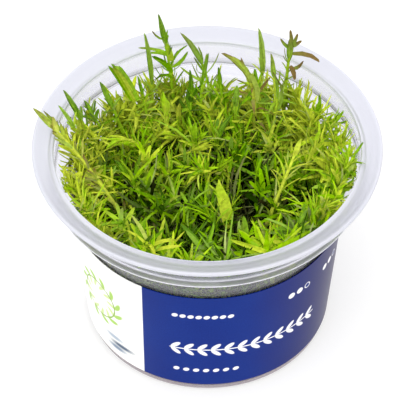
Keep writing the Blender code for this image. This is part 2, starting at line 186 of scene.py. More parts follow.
# The sprigs of the frame, by their nodes' names without sprig_, with foot, knee and tip where the
# solids have them or a few millimetres off. Then the length of the leaves and of the closed bud, the
# bud's width, its tone from dark green (0) to yellow green (1), how brown and how pale it is, and how
# many leaves a whorl has, more or less.
SPRIG_ROWS = (
    ("tall", (-9.5, 33.5), (-10.5, 33.8, 68), (-14, 31, 87.7), 6.5, 15, 2.5, 0.36, 0.15, 0.1, 3),
    ("long_bud", (-16, 31.5), (-16, 32.5, 68), (-18, 27.5, 83.5), 5.5, 26, 2.3, 0.58, 0.1, 0.4, 2),
    ("thick_bud", (-20, 26), (-21, 27, 64), (-26.7, 22.5, 76), 6, 20, 3.4, 0.75, 0.1, 0.15, 3),
    ("arched", (2, 31.5), (1.5, 30.5, 70), (-7.6, 27.2, 84), 8, 19, 2.6, 0.35, 0.35, 0.4, 3),
    ("drooping", (13.5, 23), (16, 22, 78), (4.3, 22.3, 80.6), 6, 22, 3.3, 0.7, 1.0, 0.35, 3),
    ("upright", (13.5, 32.5), (18, 31, 66), (14.8, 28.9, 84), 6, 22, 2.7, 0.62, 0.2, 0.5, 2),
    ("brown_top", (22, 28.5), (23, 29.5, 66), (24.3, 27, 83.5), 4.5, 12, 2.9, 0.45, 0.85, 0.2, 3),
    ("behind_right", (16.5, 20), (22.5, 21, 66), (19.1, 22, 73.4), 6.5, 14, 1.2, 0.5, 0.4, 0.2, 3),
    ("far_left", (-21, -12), (-35, -6, 69), (-49.4, 6.5, 74), 5, 10, 2.4, 0.72, 0.8, 0.35, 3),
    ("left_low", (-31, 2), (-38, 5, 60), (-46.6, 8.5, 71), 6, 9, 2, 0.6, 0.7, 0.3, 4),
    ("left_pair", (-31.5, 8), (-35, 9, 60), (-42.5, 11.3, 70.5), 6, 10, 2.1, 0.5, 0, 0.3, 4),
    ("left_high", (-31.5, 14), (-34, 15, 58), (-41.2, 16, 72), 6.5, 10, 2.7, 0.4, 0, 0.25, 4),
    ("left_back", (-27, 19.5), (-32, 19, 57), (-35.5, 18, 66), 6, 8, 2, 0.4, 0, 0.2, 4),
    ("left_bud", (-22.5, 21), (-27, 23, 58), (-31, 22.5, 69), 6, 12, 2.9, 0.38, 0, 0.15, 4),
    ("middle", (-4, 13), (-4, 14, 54), (-3.3, 12.8, 62), 8, 9, 3.2, 0.6, 0, 0.05, 5),
    ("middle_right", (2.5, 14), (2, 15, 56), (7.1, 12, 66), 8, 12, 2.7, 0.4, 0, 0.15, 4),
    ("right_high", (29.5, 13.5), (35, 14.5, 57), (39.3, 12.8, 67), 6.5, 7, 1.3, 0.5, 0.2, 0.05, 4),
    ("right_back", (28.5, 19.5), (30.5, 21, 56), (32.9, 18.6, 66), 6.5, 7, 1.3, 0.5, 0.1, 0.05, 4),
    ("far_right", (29, -7.5), (38, -5, 58), (44.2, -2.5, 69.5), 7.5, 7, 1.4, 0.5, 0.15, 0.05, 4),
    ("yellow", (15, -14), (22, -9, 61), (26.6, -1.7, 70), 8, 7, 2.4, 0.95, 0.2, 0.1, 3),
    ("right", (27, 4), (29, 4, 58), (32.2, 4.7, 67), 8, 7, 1.6, 0.75, 0.1, 0.05, 4),
    ("front", (7, -16), (4, -16, 56), (3.3, -11, 63), 8, 7, 2.2, 0.9, 0, 0.05, 5),
    ("curled", (-15, 15), (-22, 9, 66), (-29, 4.5, 60), 7, 7, 1.8, 0.7, 0.1, 0.05, 4),
    ("front_left", (-15, -23), (-19, -26, 55), (-25, -23, 59), 7, 6, 1.5, 0.35, 0, 0.15, 4),
    ("front_middle", (-2, -27), (-3, -29, 54), (2, -31, 59), 7, 6, 1.5, 0.35, 0, 0.15, 4),
    ("front_right", (20, -25), (24, -25, 55), (28, -21, 61), 7, 6, 1.6, 0.4, 0, 0.15, 4),
    ("slim_left", (-16, 24), (-18.5, 26.5, 58), (-20.1, 26, 68), 5, 9, 1.5, 0.4, 0, 0.05, 4),
    ("round", (-11.5, 19), (-11.5, 20, 56), (-12.8, 20, 67.5), 6, 10, 3.4, 0.8, 0, 0.05, 5),
    ("slim_middle", (-6, 25), (-4, 24, 62), (-5, 24, 72.4), 6, 10, 1.7, 0.3, 0, 0.05, 4),
    ("leaning", (-1.5, 24), (-3, 26, 62), (0.3, 25, 78), 6, 14, 1.9, 0.42, 0.1, 0.1, 3),
    ("slim_back", (6, 28), (4, 27, 60), (3.3, 26, 71.5), 6, 9, 1.8, 0.4, 0, 0.05, 4),
    ("green_bud", (9, 23), (7.5, 21, 60), (8.6, 20, 70), 6, 11, 2.8, 0.45, 0, 0.2, 4),
    ("short_back", (17, 28), (14.5, 26.5, 62), (13.8, 27, 70), 5, 8, 1.8, 0.45, 0, 0.05, 4),
    ("curly", (19.5, 24), (20.5, 25, 62), (18.4, 26, 76.9), 6, 10, 2.1, 0.6, 0.5, 0.25, 4),
)
SPRIGS = [Shoot(*row) for row in SPRIG_ROWS]

# Single leaves that stand out in the photograph, by sprig: root, middle and tip, then the width,
# tone, and how brown and how pale each is
LONE_LEAVES = {
    "thick_bud": (
        ((-22, 24, 60), (-25.6, 23, 69.8), (-28.5, 22.5, 75.6), 1.5, 0.45, 0.1, 0.0),
        ((-21.4, 24, 60), (-24.5, 22.6, 69.6), (-27.3, 22.2, 75.4), 1.4, 0.75, 0.5, 0.0),
        ((-20.8, 24, 60), (-23.6, 22.6, 69.2), (-26.2, 22.2, 74.6), 1.2, 0.9, 0.4, 0.1),
        ((-20.2, 24, 60), (-22.6, 23, 69), (-25.4, 22.5, 75.7), 1.6, 0.55, 0.1, 0.15),
    ),
    "front": (
        ((6.0, -17.5, 50), (5.0, -15, 57), (2.8, -12.5, 63), 3.9, 0.9, 0.1, 0.05),
    ),
    "brown_top": (
        ((24.1, 28, 75), (29, 27.5, 75.2), (32.5, 27, 72.6), 1.5, 0.4, 0.95, 0.2),
        ((24.2, 28, 77), (22.2, 27.5, 79.2), (20.9, 27, 82.1), 1.2, 0.4, 0.6, 0.2),
        ((24.8, 28, 69.3), (26.7, 27.5, 70.4), (27.9, 27, 73.3), 1.3, 0.4, 0.9, 0.3),
        ((24, 28, 70.2), (24.9, 27, 69), (25.4, 26, 66.4), 1.6, 0.3, 1.0, 0.2),
        ((24.4, 27.5, 79), (24.1, 27, 82), (23.7, 27, 85.6), 1.3, 0.4, 0.8, 0.3),
        ((24.6, 27.5, 79), (25.4, 27, 81.6), (26, 27, 84), 1.2, 0.4, 0.8, 0.3),
        ((24.8, 27.5, 78.4), (25.8, 27, 80), (27.2, 27, 81.2), 1.2, 0.4, 0.85, 0.3),
    ),
    "tall": (
        ((-11.4, 33, 70.5), (-15.5, 32, 73.2), (-20.2, 31, 74.6), 1.0, 0.6, 0.4, 0.2),
        ((-11, 33, 69.4), (-13.8, 32, 71.7), (-16.8, 31, 72.4), 1.1, 0.5, 0.1, 0.1),
        ((-10.3, 33, 62.9), (-12.8, 32, 67.8), (-16.2, 31, 71.3), 1.7, 0.35, 0.0, 0.0),
        ((-10, 33, 67.4), (-8.4, 32, 72.2), (-5.6, 31, 75.8), 0.9, 0.5, 0.1, 0.1),
        ((-10, 33, 65.1), (-7.4, 32, 68.6), (-5.6, 31, 73.3), 1.2, 0.5, 0.1, 0.1),
        ((-10.5, 33, 67.4), (-10.8, 32, 72), (-11.8, 31, 76.8), 2.0, 0.85, 0.1, 0.1),
        ((-10.2, 33, 60.5), (-12.8, 32, 62.9), (-16, 31, 61), 1.0, 0.3, 0.2, 0.0),
        ((-12.6, 32, 77), (-14.6, 31.5, 78.6), (-16, 31, 81.5), 0.7, 0.4, 0.7, 0.2),
    ),
    "drooping": (
        ((14.3, 22.5, 61), (13.9, 21.8, 70), (8.8, 22, 77), 1.8, 0.8, 0.4, 0.45),
        ((13.2, 23, 63), (11.9, 22.6, 71.4), (6.6, 22.4, 78), 1.5, 0.5, 0.85, 0.3),
        ((12, 22, 72.5), (10.6, 22, 75.6), (9.6, 22, 79.4), 0.9, 0.4, 0.7, 0.3),
    ),
    "behind_right": (
        ((20.3, 21.5, 58), (21.8, 21.5, 66.5), (18.4, 22, 74.2), 1.1, 0.4, 0.7, 0.3),
    ),
}


def linear(code):
    """Linear colour from an sRGB hex value."""
    parts = [int(code[k : k + 2], 16) / 255.0 for k in (1, 3, 5)]
    return (*[p / 12.92 if p <= 0.04045 else ((p + 0.055) / 1.055) ** 2.4 for p in parts], 1.0)


def add(tree, kind, values=(), stops=(), **settings):
    """Add a shader node with its values, by name or in their order, its colour stops and settings.

    A value that is another node's output becomes a link, a node stands for its first output, and a
    hex colour becomes linear.
    """
    node = tree.nodes.new("ShaderNode" + kind)
    for name, setting in settings.items():
        setattr(node, name, setting)
    for name, value in values.items() if isinstance(values, dict) else enumerate(values):
        if isinstance(value, bpy.types.Node):
            value = value.outputs[0]
        if isinstance(value, bpy.types.NodeSocket):
            tree.links.new(value, node.inputs[name])
        elif isinstance(value, str):
            node.inputs[name].default_value = linear(value)
        else:
            node.inputs[name].default_value = value
    for _ in stops[2:]:
        node.color_ramp.elements.new(0.5)
    for k, (place, code) in enumerate(stops):
        node.color_ramp.elements[k].position = place
        node.color_ramp.elements[k].color = linear(code)
    return node


def make_material(name, finish):
    """A material whose surface is what its finish builds in the node tree."""
    material = bpy.data.materials.new(name)
    material.use_nodes = True
    tree = material.node_tree
    tree.nodes.clear()
    add(tree, "OutputMaterial", {"Surface": finish(tree)})
    return material


def zone(tree, *limits):
    """How far a point of the cup lies in a zone, from 0 to 1.

    A limit is a radius or height, where the zone is nothing and where it is full, in millimetres.
    """
    share = 1.0
    for value, none, full in limits:
        part = add(tree, "MapRange", {"Value": value, "From Min": none * MM, "From Max": full * MM})
        share = add(tree, "Math", (share, part), operation="MULTIPLY")
    return share


def lay_over(tree, colour, *layers):
    """A colour with others laid over it in turn, each where its mask is 1."""
    for mask, above in layers:
        mix = add(tree, "Mix", {"Factor": mask, "A": colour, "B": above}, data_type="RGBA")
        colour = mix.outputs["Result"]
    return colour


def darken(tree, share, colour, shade):
    """A colour multiplied by a shade, in part or in full."""
    values = {"Factor": share, "A": colour, "B": shade}
    return add(tree, "Mix", values, data_type="RGBA", blend_type="MULTIPLY").outputs["Result"]


def frosted_polypropylene(tree):
    """Polypropylene, thin-wall injection moulded: slightly milky and see-through, with a satin skin."""
    place = add(tree, "TexCoord").outputs["Object"]
    height = add(tree, "SeparateXYZ", {"Vector": place}).outputs["Z"]
    level = add(tree, "VectorMath", (place, (1.0, 1.0, 0.0)), operation="MULTIPLY")
    radius = add(tree, "VectorMath", (level,), operation="LENGTH").outputs["Value"]
    # flow lines of the moulding, rings about 1 mm apart
    section = add(tree, "CombineXYZ", {"X": radius, "Z": height})
    rings = add(tree, "TexNoise", {"Vector": section, "Scale": 1000.0})
    # painted highlights: the rounded edges and the bead get extra milk, so they are whiter than the faces
    # beside them, standing in for the light that the edges carry to the eye
    outer_edge = zone(tree, (radius, RIM_RADIUS - 1.2, RIM_RADIUS - 0.4))
    inner_edge = zone(
        tree,
        (radius, RIM_INNER_RADIUS + 0.9, RIM_INNER_RADIUS + 0.5),
        (height, RIM_INNER_HEIGHT - 0.7, RIM_INNER_HEIGHT - 0.4),
    )
    bead = zone(
        tree,
        (radius, COLLAR_RADIUS - 0.1, COLLAR_RADIUS + 0.1),
        (height, LEDGE_HEIGHT + 0.75, LEDGE_HEIGHT + 0.45),
    )
    edges = add(tree, "Math", (outer_edge, inner_edge), operation="MAXIMUM")
    edges = add(tree, "Math", (edges, bead), operation="MAXIMUM")
    # the wall and the top of the collar are clearest, the low collar and the rim are milky
    collar = zone(
        tree,
        (radius, RIM_INNER_RADIUS - 0.7, RIM_INNER_RADIUS - 0.1),
        (height, COLLAR_CLEAR + 0.3, COLLAR_CLEAR),
    )
    rim = zone(tree, (height, *RIM_MILKY))
    foot = zone(tree, (height, LABEL_LOW + 0.1, LABEL_LOW - 0.4))
    wall = zone(tree, (height, LEDGE_HEIGHT + 0.3, LEDGE_HEIGHT - 0.3))
    streaks = add(tree, "Math", (rings, RIM_STREAKS, RIM_MILK), operation="MULTIPLY_ADD")
    milk = 0.0
    amounts = (WALL_MILK, COLLAR_MILK, streaks, EDGE_HIGHLIGHT_MILK, BEAD_HIGHLIGHT_MILK)
    for part, amount in zip((wall, collar, rim, edges, bead), amounts):
        milk = add(tree, "Math", (part, amount, milk), operation="MULTIPLY_ADD")
    # it scatters light once on the way through a wall, where the light goes in
    inside = add(tree, "NewGeometry").outputs["Backfacing"]
    going_in = add(tree, "Math", (1.0, inside), operation="SUBTRACT")
    milk = add(tree, "Math", (milk, going_in), operation="MULTIPLY")
    clear = add(tree, "Math", (1.0, milk), operation="SUBTRACT")
    # the milky parts are rougher than the clear ones
    frosted = add(tree, "Math", (collar, rim), operation="MAXIMUM")
    rough = add(tree, "Math", (frosted, 0.25, 0.1), operation="MULTIPLY_ADD")
    # the thick rim is tinted more than the thin walls, and the foot under the label much darker
    tint = lay_over(tree, "#e8e8f1", (rim, "#d9dae5"), (foot, "#978991"))
    bump = add(tree, "Bump", {"Height": rings, "Strength": 0.06, "Distance": 0.08 * MM})
    values = {"Base Color": tint, "Roughness": rough, "IOR": 1.49, "Normal": bump}
    return add(tree, "BsdfPrincipled", {**values, "Transmission Weight": clear})


def nutrient_gel(tree):
    """Agar gel, set in the cup: clear and wet, with cloudy patches about 11 mm across."""
    place = add(tree, "TexCoord").outputs["Object"]
    cloud = add(tree, "TexNoise", {"Vector": place, "Scale": 90.0, "Detail": 4.0})
    tint = add(tree, "ValToRGB", {"Fac": cloud}, ((0.3, "#d8cfc6"), (0.7, "#efe9e2")))
    values = {"Base Color": tint, "Roughness": 0.12, "IOR": 1.34, "Transmission Weight": 0.6}
    return add(tree, "BsdfPrincipled", values)


def ellipse_mask(tree, place, centre, size, angle=0.0, soft=0.1):
    """1 inside a printed ellipse on the label and 0 outside. Places and sizes are in millimetres."""
    shift = add(tree, "VectorMath", (place, (*centre, 0.0)), operation="SUBTRACT")
    turn = add(tree, "VectorRotate", {"Vector": shift, "Angle": -angle}, rotation_type="Z_AXIS")
    shrink = (1.0 / size[0], 1.0 / size[1], 0.0)
    scale = add(tree, "VectorMath", (turn, shrink), operation="MULTIPLY")
    away = add(tree, "VectorMath", (scale,), operation="LENGTH").outputs["Value"]
    return add(tree, "MapRange", {"Value": away, "From Min": 1.0 + soft, "From Max": 1.0 - soft})


def row_fields(tree, across, up, start, pitch, count):
    """Places within a row of equal fields, measured from each field's left end, and a mask of the row."""
    past = add(tree, "Math", (across, start), operation="SUBTRACT")
    begun = add(tree, "Math", (past, 0.0), operation="GREATER_THAN")
    before_end = add(tree, "Math", (past, pitch * count), operation="LESS_THAN")
    inside = add(tree, "Math", (begun, before_end), operation="MULTIPLY")
    local = add(tree, "Math", (past, pitch, 0.0), operation="WRAP")
    return add(tree, "CombineXYZ", {"X": local, "Y": up}), inside


def ring_fields(tree, across, up, centre, radius, count):
    """Places within a ring of equal fields: along the ring from a field's start, and outward from it."""
    right = add(tree, "Math", (across, centre[0]), operation="SUBTRACT")
    above = add(tree, "Math", (up, centre[1]), operation="SUBTRACT")
    angle = add(tree, "Math", (above, right), operation="ARCTAN2")
    local = add(tree, "Math", (angle, math.tau / count, 0.0), operation="WRAP")
    spot = add(tree, "CombineXYZ", {"X": right, "Y": above})
    away = add(tree, "VectorMath", (spot,), operation="LENGTH").outputs["Value"]
    along = add(tree, "Math", (local, radius), operation="MULTIPLY")
    outward = add(tree, "Math", (away, radius), operation="SUBTRACT")
    return add(tree, "CombineXYZ", {"X": along, "Y": outward})


def print_wreath(tree, colour, across, up, place):
    """On the white panel: a plain wreath of leaves in washed greens over three grey-blue ripples."""
    ring = ring_fields(tree, across, up, WREATH_CENTRE, WREATH_RADIUS, WREATH_LEAVES)
    middle = WREATH_LEAF[0]
    for out, lean, code in ((WREATH_SPREAD, 0.9, "#a8cf62"), (-WREATH_SPREAD, 2.2, "#cfe29a")):
        leaf = ellipse_mask(tree, ring, (middle, out), WREATH_LEAF, lean, 0.25)
        colour = lay_over(tree, colour, (leaf, code))
    stalk = ellipse_mask(tree, ring, (middle, 0.0), WREATH_STALK, 0.0, 0.2)
    colour = lay_over(tree, colour, (stalk, "#8fb04e"))
    for spot, length, code in RIPPLES:
        ripple = ellipse_mask(tree, place, spot, (length, RIPPLE_HALF), 0.05, 0.5)
        colour = lay_over(tree, colour, (ripple, code))
    return colour


def print_garland(tree, colour, across, up):
    """On the blue panel: a plain white garland of leaves, and rows of small lozenges."""
    level = add(tree, "Math", (up, GARLAND_HEIGHT), operation="SUBTRACT")
    fields, inside = row_fields(tree, across, level, GARLAND_START, GARLAND_PITCH, GARLAND_LEAVES)
    marks = add(tree, "Math", (level, 0.0, GARLAND_STALK), operation="COMPARE")
    for height, lean in ((GARLAND_SPREAD, 0.75), (-GARLAND_SPREAD, -0.75)):
        leaf = ellipse_mask(tree, fields, (GARLAND_LEAF[0], height), GARLAND_LEAF, lean)
        marks = add(tree, "Math", (marks, leaf), operation="MAXIMUM")
    marks = add(tree, "Math", (marks, inside), operation="MULTIPLY")
    for start, height, pitch, count in LOZENGE_ROWS:
        level = add(tree, "Math", (up, height), operation="SUBTRACT")
        fields, inside = row_fields(tree, across, level, start, pitch, count)
        lozenge = ellipse_mask(tree, fields, (0.5 * pitch, 0.0), LOZENGE, 0.5)
        row = add(tree, "Math", (lozenge, inside), operation="MULTIPLY")
        marks = add(tree, "Math", (marks, row), operation="MAXIMUM")
    return lay_over(tree, colour, (marks, "#f2f2f6"))


def print_dots(tree, colour, place):
    """On the blue panel: plain filled and open dots, as on a three-step scale."""
    for start in DOT_ROWS:
        for k in range(DOTS):
            spot = (start + DOT_PITCH * k, DOT_HEIGHT)
            dot = ellipse_mask(tree, place, spot, (DOT_RADIUS, DOT_RADIUS))
            colour = lay_over(tree, colour, (dot, "#f6f6f8"))
        hole = ellipse_mask(tree, place, spot, (DOT_HOLE, DOT_HOLE))
        colour = lay_over(tree, colour, (hole, "#03297d"))
    return colour


def printed_paper(tree):
    """Coated paper, offset printed: a white panel and a blue one, satin, with a faint print grain.

    Its UVs are millimetres: round the cup from the middle of the front, and up from the floor.
    """
    place = add(tree, "UVMap", uv_map="millimetres")
    apart = add(tree, "SeparateXYZ", {"Vector": place})
    across, up = apart.outputs["X"], apart.outputs["Y"]
    # the grain is 0.5 mm across, coarser than a real print's so that it shows
    grain = add(tree, "TexNoise", {"Vector": place, "Scale": 2.2, "Detail": 3.0})
    # the ink's tone changes over about 17 mm
    broad = add(tree, "TexNoise", {"Vector": place, "Scale": 0.06, "Detail": 1.0})
    ink = add(tree, "ValToRGB", {"Fac": grain}, ((0.3, "#05287a"), (0.7, "#0a2f85")))
    tone = add(tree, "ValToRGB", {"Fac": broad}, ((0.3, "#ffffff"), (0.75, "#c9c6e6")))
    blue = darken(tree, 0.5, ink, tone)
    # painted shade: the blue grows darker and more purple towards the right, where the cup turns away from
    # the light
    shade_purple = add(tree, "MapRange", {"Value": across, "From Min": SHADE_PURPLE_FROM, "From Max": SHADE_PURPLE_TO})
    blue = lay_over(tree, blue, (shade_purple, "#241d50"))
    # the blue panel starts a third of a right angle left of the front and goes round to the back
    limits = {"From Min": BLUE_START, "From Max": BLUE_START + PRINT_EDGE}
    starts = add(tree, "MapRange", {"Value": across, **limits})
    colour = lay_over(tree, "#fbfbf8", (starts, blue))
    colour = print_wreath(tree, colour, across, up, place)
    colour = print_garland(tree, colour, across, up)
    colour = print_dots(tree, colour, place)
    bump = add(tree, "Bump", {"Height": grain, "Strength": 0.15, "Distance": 0.03 * MM})
    values = {"Base Color": colour, "Roughness": 0.3, "IOR": 1.5, "Specular IOR Level": 0.08}
    return add(tree, "BsdfPrincipled", {**values, "Normal": bump})


def rotala_leaf(tree):
    """Leaf blade, grown: thin, satin, lit through from behind. Its "growth" colours say which blade.

    Red is the tone from dark to yellow green, green is how brown, and blue is how pale it is.
    """
    growth = add(tree, "Attribute", attribute_name="growth").outputs["Color"]
    parts = add(tree, "SeparateColor", {"Color": growth}).outputs
    greens = ((0.0, "#081d00"), (0.25, "#5a9000"), (0.5, "#9ad600"), (0.75, "#beee08"), (1.0, "#ecfb48"))
    green = add(tree, "ValToRGB", {"Fac": parts["Red"]}, greens)
    colour = lay_over(tree, green, (parts["Blue"], "#cfdc86"), (parts["Green"], "#8f7743"))
    # mottling about 1.1 mm across with finer veins in it, coarser than real cells so that it shows
    place = add(tree, "TexCoord").outputs["Object"]
    mottle = add(tree, "TexNoise", {"Vector": place, "Scale": 900.0, "Detail": 2.0})
    shade = add(tree, "ValToRGB", {"Fac": mottle}, ((0.3, "#d8d8d8"), (0.7, "#ffffff")))
    colour = darken(tree, 1.0, colour, shade)
    bump = add(tree, "Bump", {"Height": mottle, "Strength": 0.3, "Distance": 0.1 * MM})
    values = {"Base Color": colour, "Roughness": 0.45, "IOR": 1.42, "Specular IOR Level": 0.03}
    skin = add(tree, "BsdfPrincipled", {**values, "Normal": bump})
    through = add(tree, "BsdfTranslucent", {"Color": colour})
    return add(tree, "MixShader", {"Fac": 0.15, 1: skin, 2: through})


def painted_shade_old_growth(tree):
    """Old stems and leaves in the shade, grown: near black green as painted shade, matt, in clumps of
    about 2.4 mm.
    """
    place = add(tree, "TexCoord").outputs["Object"]
    clump = add(tree, "TexNoise", {"Vector": place, "Scale": 420.0, "Detail": 4.0})
    # painted shade: near black greens for the shade deep in the mass
    greens = ((0.35, "#060c01"), (0.55, "#142404"), (0.75, "#2c430a"))
    colour = add(tree, "ValToRGB", {"Fac": clump}, greens)
    bump = add(tree, "Bump", {"Height": clump, "Strength": 1.0, "Distance": 1.0 * MM})
    values = {"Base Color": colour, "Roughness": 0.7, "IOR": 1.42, "Normal": bump}
    return add(tree, "BsdfPrincipled", values)


def studio_white(tree):
    """Seamless paper sweep: white and matt, with faint clouds 250 mm across."""
    place = add(tree, "TexCoord").outputs["Object"]
    cloud = add(tree, "TexNoise", {"Vector": place, "Scale": 4.0})
    tint = add(tree, "ValToRGB", {"Fac": cloud}, ((0.0, "#bababa"), (1.0, "#bebebe")))
    glow = {"Emission Color": "#ffffff", "Emission Strength": 0.52}
    return add(tree, "BsdfPrincipled", {"Base Color": tint, "Roughness": 0.9, **glow})


def mesh_from_arrays(points, quads, tris, growth=None):
    """A smooth mesh in metres from point and face arrays in millimetres."""
    mesh = bpy.data.meshes.new("shape")
    corners = np.concatenate((quads.ravel(), tris.ravel())).astype(np.int32)
    starts = np.concatenate(
        (4 * np.arange(len(quads)), 4 * len(quads) + 3 * np.arange(len(tris)))
    ).astype(np.int32)
    mesh.vertices.add(len(points))
    mesh.vertices.foreach_set("co", (points * MM).astype(np.float32).ravel())
    mesh.loops.add(len(corners))
    mesh.loops.foreach_set("vertex_index", corners)
    mesh.polygons.add(len(starts))
    mesh.polygons.foreach_set("loop_start", starts)
    if growth is not None:
        layer = mesh.color_attributes.new("growth", "FLOAT_COLOR", "POINT")
        layer.data.foreach_set("color", growth.astype(np.float32).ravel())
    mesh.update(calc_edges=True)
    mesh.validate()
    mesh.shade_smooth()
    mesh.set_sharp_from_angle(angle=math.radians(50))
    return mesh


def new_object(name, data):
    """An object in the scene, with its mesh, lamp or camera."""
    thing = bpy.data.objects.new(name, data)
    bpy.context.scene.collection.objects.link(thing)
    return thing


def new_piece(name, mesh, material, slot, *nodes):
    """A piece of the plant or its pot, with the frame's nodes that it stands for. Its slot is not used."""
    mesh.name = name
    mesh.materials.append(material)
    piece = new_object(name, mesh)
    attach(piece, "root")
    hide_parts(*nodes)


def revolve(profile, closed):
    """A turned mesh from (radius, height) points, with its normals outward either way round."""
    following = profile[1:] + profile[:1]
    if sum(a[0] * b[1] - b[0] * a[1] for a, b in zip(profile, following)) < 0.0:
        profile = profile[::-1]
    rings = np.array([point for point in profile if point[0] > 1e-6])
    angles = np.linspace(0.0, math.tau, TURN_STEPS, endpoint=False) - math.pi / 2
    across = np.stack((np.cos(angles), np.sin(angles)), 1)
    points = np.concatenate(
        (rings[:, None, :1] * across[None], np.repeat(rings[:, None, 1:], TURN_STEPS, 1)), 2
    ).reshape(-1, 3)
    count = len(rings)
    rows = np.arange(count if closed else count - 1)[:, None] * TURN_STEPS
    here = np.arange(TURN_STEPS)[None]
    beside = (here + 1) % TURN_STEPS
    after = (rows + TURN_STEPS) % (count * TURN_STEPS)
    quads = np.stack((rows + here, rows + beside, after + beside, after + here), 2).reshape(-1, 4)
    tris = np.zeros((0, 3), int)
    if not closed:
        first, last = len(points), len(points) + 1
        ends = np.array(((0.0, 0.0, profile[0][1]), (0.0, 0.0, profile[-1][1])))
        points = np.concatenate((points, ends))
        low = np.stack((np.full(TURN_STEPS, first), beside[0], here[0]), 1)
        top_row = (count - 1) * TURN_STEPS
        high = np.stack((np.full(TURN_STEPS, last), top_row + here[0], top_row + beside[0]), 1)
        tris = np.concatenate((low, high))
    return mesh_from_arrays(points, quads, tris)


def wall_radius(height):
    """The outer radius of the cup's tapered wall at a height, or at many."""
    share = (height - WALL_FOOT) / (LEDGE_HEIGHT - WALL_FOOT)
    return FOOT_RADIUS + (WALL_TOP_RADIUS - FOOT_RADIUS) * share


def arc(centre, radius, start, end, count):
    """Points of an arc in a profile, from one angle to another in degrees."""
    spots = []
    for k in range(count + 1):
        angle = math.radians(start + (end - start) * k / count)
        spots.append((centre[0] + radius * math.cos(angle), centre[1] + radius * math.sin(angle)))
    return spots


def cup_profile():
    """The cup's section: floor, wall, ledge, collar and rim inside, then back down the outside."""
    corner = (FOOT_RADIUS - SKIN - FLOOR_CORNER, SKIN + FLOOR_CORNER)
    inner_top = wall_radius(LEDGE_HEIGHT) - SKIN
    under_rim = RIM_INNER_HEIGHT - RIM_SKIN
    profile = [(0.0, SKIN), (20.0, SKIN), (31.5, SKIN)]
    profile += arc(corner, FLOOR_CORNER, -80, -4, 5)
    profile += [(wall_radius(z) - SKIN, z) for z in WALL_LEVELS]
    profile += arc((inner_top + LEDGE_CORNER, LEDGE_TOP - LEDGE_CORNER), LEDGE_CORNER, 180, 90, 4)
    profile += arc((RIM_INNER_RADIUS - 0.9, LEDGE_TOP + LEDGE_CORNER), LEDGE_CORNER, -90, -5, 4)
    profile += [(RIM_INNER_RADIUS - 0.25, LEDGE_TOP + 2.0), (RIM_INNER_RADIUS - 0.1, 62.0)]
    profile += arc((RIM_INNER_RADIUS + 0.5, RIM_INNER_HEIGHT - 0.4), 0.5, 178, 100, 5)
    profile += [(46.0, RIM_INNER_HEIGHT + 0.38), (48.0, RIM_INNER_HEIGHT + 0.70)]
    profile += arc((RIM_RADIUS - 0.45, RIM_HEIGHT - 0.45), 0.45, 95, 0, 5)
    profile += arc((RIM_RADIUS - 0.3, RIM_HEIGHT - RIM_SKIN + 0.3), 0.3, 0, -85, 3)
    profile += [(47.5, under_rim + 0.4)]
    profile += arc((COLLAR_RADIUS + 0.75, under_rim - 0.45), 0.55, 90, 178, 4)
    profile += [(COLLAR_RADIUS + 0.1, 60.0), (COLLAR_RADIUS, LEDGE_HEIGHT + 1.1)]
    profile += arc((COLLAR_RADIUS - 0.05, LEDGE_HEIGHT + 0.45), 0.45, 75, -85, 6)
    profile += [(43.0, LEDGE_HEIGHT), (WALL_TOP_RADIUS + 0.5, LEDGE_HEIGHT)]
    profile += arc((WALL_TOP_RADIUS + 0.5, LEDGE_HEIGHT - 0.5), 0.5, 90, 178, 3)
    profile += [(wall_radius(z), z) for z in reversed(WALL_LEVELS)]
    profile += arc((FOOT_RADIUS - 1.15, WALL_FOOT), WALL_FOOT, 2, -88, 6)
    profile += [(31.0, 0.0), (15.0, 0.0), (0.0, 0.0)]
    return profile


def make_cup(plastic):
    """The cup: one closed shell."""
    new_piece("cup_shell", revolve(cup_profile(), False), plastic, "cup_plastic", "cup")


def make_label(paper):
    """The sleeve: a closed turned strip, with UVs in millimetres for its print."""
    low, high = (wall_radius(z) + LABEL_GAP for z in (LABEL_LOW, LABEL_HIGH))
    profile = [(low, LABEL_LOW), (high, LABEL_HIGH)]
    for k in range(LABEL_STEPS + 1):
        share = 1.0 - k / LABEL_STEPS
        radius = low + (high - low) * share + LABEL_THICK
        profile.append((radius, LABEL_LOW + (LABEL_HIGH - LABEL_LOW) * share))
    mesh = revolve(profile, True)
    layer = mesh.uv_layers.new(name="millimetres")
    for polygon in mesh.polygons:
        centre = polygon.center
        home = math.atan2(centre.x, -centre.y)
        for index in polygon.loop_indices:
            spot = mesh.vertices[mesh.loops[index].vertex_index].co
            angle = math.atan2(spot.x, -spot.y)
            angle += math.tau * round((home - angle) / math.tau)
            layer.data[index].uv = (angle * spot.xy.length / MM, spot.z / MM)
    new_piece("label_sleeve", mesh, paper, "label_paper", "label")


def make_gel(gel):
    """The gel's bed: its surface sags from a thin rim where it clings to the cup."""
    floor = SKIN + GEL_GAP
    edge = wall_radius(GEL_TOP) - SKIN - GEL_GAP
    profile = [(0.0, floor), (20.0, floor)]
    profile += arc((FOOT_RADIUS - SKIN - 2.2, floor + FLOOR_CORNER), FLOOR_CORNER, -80, 0, 5)
    profile += [(edge - 0.15, GEL_TOP - 2.0), (edge, GEL_TOP), (edge - 0.8, GEL_TOP - 0.5)]
    profile += [(edge - 2.5, GEL_TOP - 0.9), (15.0, GEL_TOP - 1.0), (0.0, GEL_TOP - 1.0)]
    new_piece("gel_bed", revolve(profile, False), gel, "gel", "gel")


